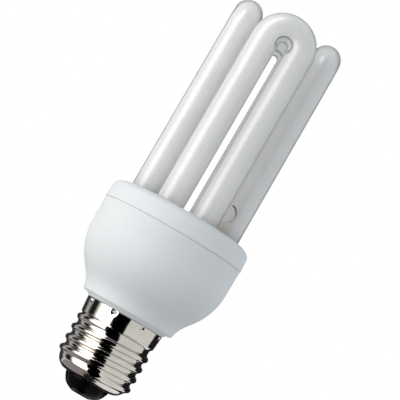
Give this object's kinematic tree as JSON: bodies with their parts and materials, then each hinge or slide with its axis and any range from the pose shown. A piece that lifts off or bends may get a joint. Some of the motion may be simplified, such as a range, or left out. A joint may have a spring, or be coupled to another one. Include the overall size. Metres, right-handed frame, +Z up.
{
  "type": "compact fluorescent lamp",
  "caption": "Compact fluorescent lamp: four U-shaped white discharge tubes standing in a moulded ballast housing, on an Edison screw cap with a black glass insulator.",
  "frame": {"origin": "tip of the centre contact, on the lamp's axis", "axes": "+Z up the axis from the screw cap to the tubes, -Y out of the face of one U tube"},
  "size_m": [0.0486, 0.0486, 0.1343],
  "materials": {
    "nickel_plate": "bright nickel plate on rolled sheet",
    "black_glass": "black glass, fused and glossy",
    "contact_metal": "tinned, slightly worn",
    "housing_plastic": "white moulded plastic, satin gloss",
    "coated_glass": "clear glass with a white coating inside",
    "board_laminate": "paper laminate",
    "capacitor_sleeve": "shrunk plastic sleeve",
    "ferrite": "sintered ferrite, dull",
    "bobbin_plastic": "moulded plastic",
    "copper": "enamelled copper wire",
    "black_resin": "moulded resin",
    "dipped_resin": "dipped resin, glossy",
    "thermistor_coat": "dipped coat, dull",
    "resistor_coat": "lacquer",
    "wire_sleeve": "plastic sleeve",
    "tinned_metal": "tinned"
  },
  "bodies": {
    "root": {"screw_shell": "nickel_plate", "insulator": "black_glass", "centre_contact": "contact_metal", "lower_housing": "housing_plastic", "tube_cover": "housing_plastic", "discharge_tube": "coated_glass", "circuit_board": "board_laminate", "reservoir_capacitor": "capacitor_sleeve", "choke_core": "ferrite", "choke_bobbin": "bobbin_plastic", "choke_winding": "copper", "feedback_ring": "ferrite", "feedback_windings": "copper", "switch_transistor_a": "black_resin", "switch_transistor_b": "black_resin", "resonant_capacitor": "dipped_resin", "coupling_capacitor": "dipped_resin", "starting_thermistor": "thermistor_coat", "rectifier_diodes": "black_resin", "trigger_diode": "black_resin", "bias_resistors": "resistor_coat", "fuse_resistor": "resistor_coat", "live_wire": "wire_sleeve", "neutral_wire": "wire_sleeve", "wrap_pins": "tinned_metal", "filament_leads": "tinned_metal"}
  },
  "joints": []
}
